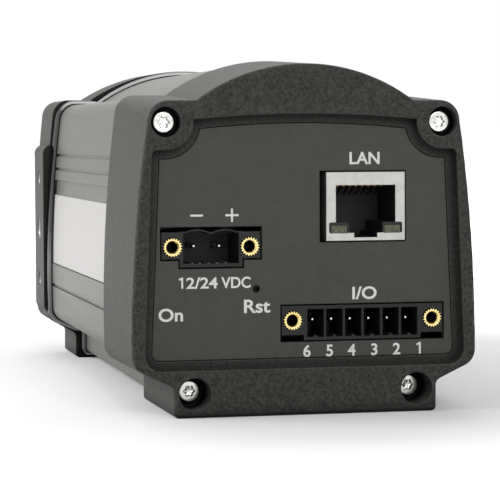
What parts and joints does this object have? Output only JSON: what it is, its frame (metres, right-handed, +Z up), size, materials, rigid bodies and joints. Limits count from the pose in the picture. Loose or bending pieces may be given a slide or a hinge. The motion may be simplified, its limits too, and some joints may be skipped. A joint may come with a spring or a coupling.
{
  "type": "fixed thermal camera",
  "caption": "Fixed thermal camera: extruded housing, rear cover with network, power and signal sockets, front casting with mounting pads and a motor-focused infrared lens",
  "frame": {"origin": "middle of the footprint, on the plane that the camera's feet rest on", "axes": "+Z up, +Y along the lens axis from the connector side to the lens, +X to the right seen from the connector side"},
  "size_m": [0.0706, 0.17, 0.0704],
  "materials": {
    "cover_coat": "textured powder coat",
    "panel_coat": "smooth satin",
    "extrusion_skin": "fine satin anodised",
    "casting_coat": "satin paint",
    "collar_trim": "gloss black",
    "seal_rubber": "matte",
    "label_film": "matte film",
    "connector_black": "fine moulded",
    "nut_brass": "turned",
    "pin_tin": "bright tin",
    "contact_gold": "gold plated",
    "shield_tin": "tinned sheet",
    "lamp_lens": "translucent, unlit",
    "screw_steel": "bright zinc",
    "board_green": "solder resist",
    "part_black": "moulded",
    "lens_black": "black anodised",
    "germanium": "coated, opaque to the eye",
    "gear_white": "acetal",
    "motor_steel": "satin",
    "plate_metal": "machined",
    "cable_film": "polyimide film"
  },
  "bodies": {
    "housing": {"barrel_screws": "screw_steel", "board_link_headers": "connector_black", "board_screws": "screw_steel", "body_extrusion": "extrusion_skin", "cover_screws": "screw_steel", "detector_board": "board_green", "detector_flat_cable": "cable_film", "detector_package": "motor_steel", "detector_posts": "plate_metal", "detector_window": "germanium", "flat_cable_sockets": "connector_black", "focus_motor": "motor_steel", "front_casting": "casting_coat", "front_collar": "collar_trim", "front_ring": "lens_black", "front_ring_seal": "seal_rubber", "front_screws": "screw_steel", "gear_plate": "plate_metal", "gear_posts": "plate_metal", "guide_pins": "motor_steel", "interface_board": "board_green", "io_flange_nuts": "nut_brass", "io_header_housing": "connector_black", "io_header_pins": "pin_tin", "lens_barrel": "lens_black", "network_jack_contacts": "contact_gold", "network_jack_insert": "connector_black", "network_jack_shield": "shield_tin", "network_jack_windows": "lamp_lens", "panel_gasket": "seal_rubber", "power_board": "board_green", "power_board_parts": "part_black", "power_flange_nuts": "nut_brass", "power_header_housing": "connector_black", "power_header_pins": "pin_tin", "processor_board": "board_green", "processor_board_parts": "part_black", "rear_bezel": "cover_coat", "rear_gasket": "seal_rubber", "rear_panel": "panel_coat", "reset_switch": "connector_black", "ring_carrier": "plate_metal", "shutter_actuator": "motor_steel", "side_label": "label_film"},
    "focus_ring_body": {"focus_ring": "nut_brass"},
    "focus_pinion_body": {"focus_pinion": "gear_white"},
    "lens_cell_body": {"lens_cell": "lens_black", "front_lens": "germanium", "rear_lens": "germanium", "lens_retaining_ring": "lens_black"},
    "shutter_body": {"shutter_flag": "part_black"},
    "reset_button_body": {"reset_plunger": "part_black"}
  },
  "joints": [
    {"name": "focus_ring_turn", "type": "hinge", "parent": "housing", "child": "focus_ring_body", "pos_m": [0, 0.05, 0.034], "axis": [0, 1, 0], "range_deg": [0, 270]},
    {"name": "lens_cell_slide", "type": "slide", "parent": "housing", "child": "lens_cell_body", "axis": [0, 1, 0], "range_m": [0, 0.003]},
    {"name": "focus_pinion_turn", "type": "hinge", "parent": "housing", "child": "focus_pinion_body", "pos_m": [0.01527, 0.0473, 0.04927], "axis": [0, 1, 0], "range_deg": [-1350, 0]},
    {"name": "shutter_swing", "type": "hinge", "parent": "housing", "child": "shutter_body", "pos_m": [-0.016, 0.037, 0.0452], "axis": [0, -1, 0], "range_deg": [0, 50]},
    {"name": "reset_press", "type": "slide", "parent": "housing", "child": "reset_button_body", "axis": [0, 1, 0], "range_m": [0, 0.0003], "stiffness_N_per_m": 400}
  ],
  "couplings": [
    {"joint": "focus_pinion_turn", "follows": "focus_ring_turn", "ratio": -5},
    {"joint": "lens_cell_slide", "follows": "focus_ring_turn", "m_per_rad": 0.0006366}
  ]
}
